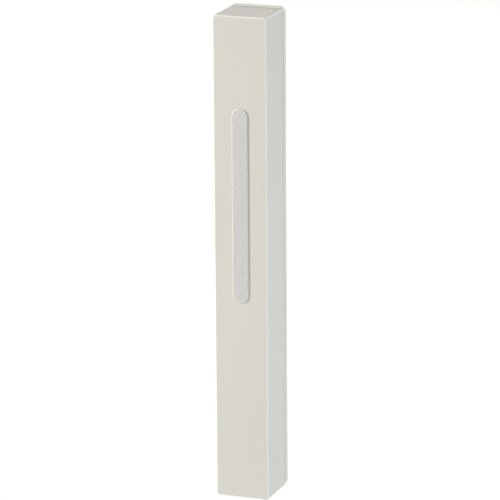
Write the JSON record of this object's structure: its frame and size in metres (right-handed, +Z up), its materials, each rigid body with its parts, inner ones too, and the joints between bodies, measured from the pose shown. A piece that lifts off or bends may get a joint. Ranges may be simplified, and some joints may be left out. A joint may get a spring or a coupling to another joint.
{
  "type": "mezuzah case",
  "caption": "Plain square moulded case for a rolled parchment, with a plain raised silvered bar on its front, a stopper at the bottom and adhesive pads behind.",
  "frame": {"origin": "middle of the bottom of the whole object's box, on the surface that it stands on", "axes": "+X to the right seen from the front, +Y out of the back towards the doorpost, +Z up along the case"},
  "size_m": [0.0176, 0.0176, 0.1504],
  "materials": {
    "case_plastic": "satin ivory moulded plastic",
    "plate_plastic": "satin ivory moulded plastic",
    "ornament_plastic": "satin ivory moulded plastic",
    "ornament_silver": "fine-grained matte silver foil",
    "plug_silicone": "matte translucent silicone",
    "parchment": "natural parchment",
    "wrap_film": "clear film",
    "foam_tape": "white closed-cell foam",
    "liner_paper": "glossy siliconised paper"
  },
  "bodies": {
    "case": {"case_body": "case_plastic", "back_plate": "plate_plastic", "front_ornament": "ornament_plastic", "ornament_foil": "ornament_silver", "upper_tape": "foam_tape", "lower_tape": "foam_tape"},
    "plug": {"bottom_plug": "plug_silicone"},
    "parchment": {"scroll": "parchment", "scroll_wrap": "wrap_film"},
    "upper_backing": {"upper_liner": "liner_paper"},
    "lower_backing": {"lower_liner": "liner_paper"}
  },
  "joints": [
    {"name": "plug_pull", "type": "slide", "parent": "case", "child": "plug", "axis": [0, 0, -1], "range_m": [0, 0.15]},
    {"name": "parchment_slide", "type": "slide", "parent": "plug", "child": "parchment", "axis": [0, 0, 1], "range_m": [0, 0.018]},
    {"name": "upper_liner_peel", "type": "slide", "parent": "case", "child": "upper_backing", "axis": [0, 1, 0], "range_m": [0, 0.03]},
    {"name": "lower_liner_peel", "type": "slide", "parent": "case", "child": "lower_backing", "axis": [0, 1, 0], "range_m": [0, 0.03]}
  ]
}
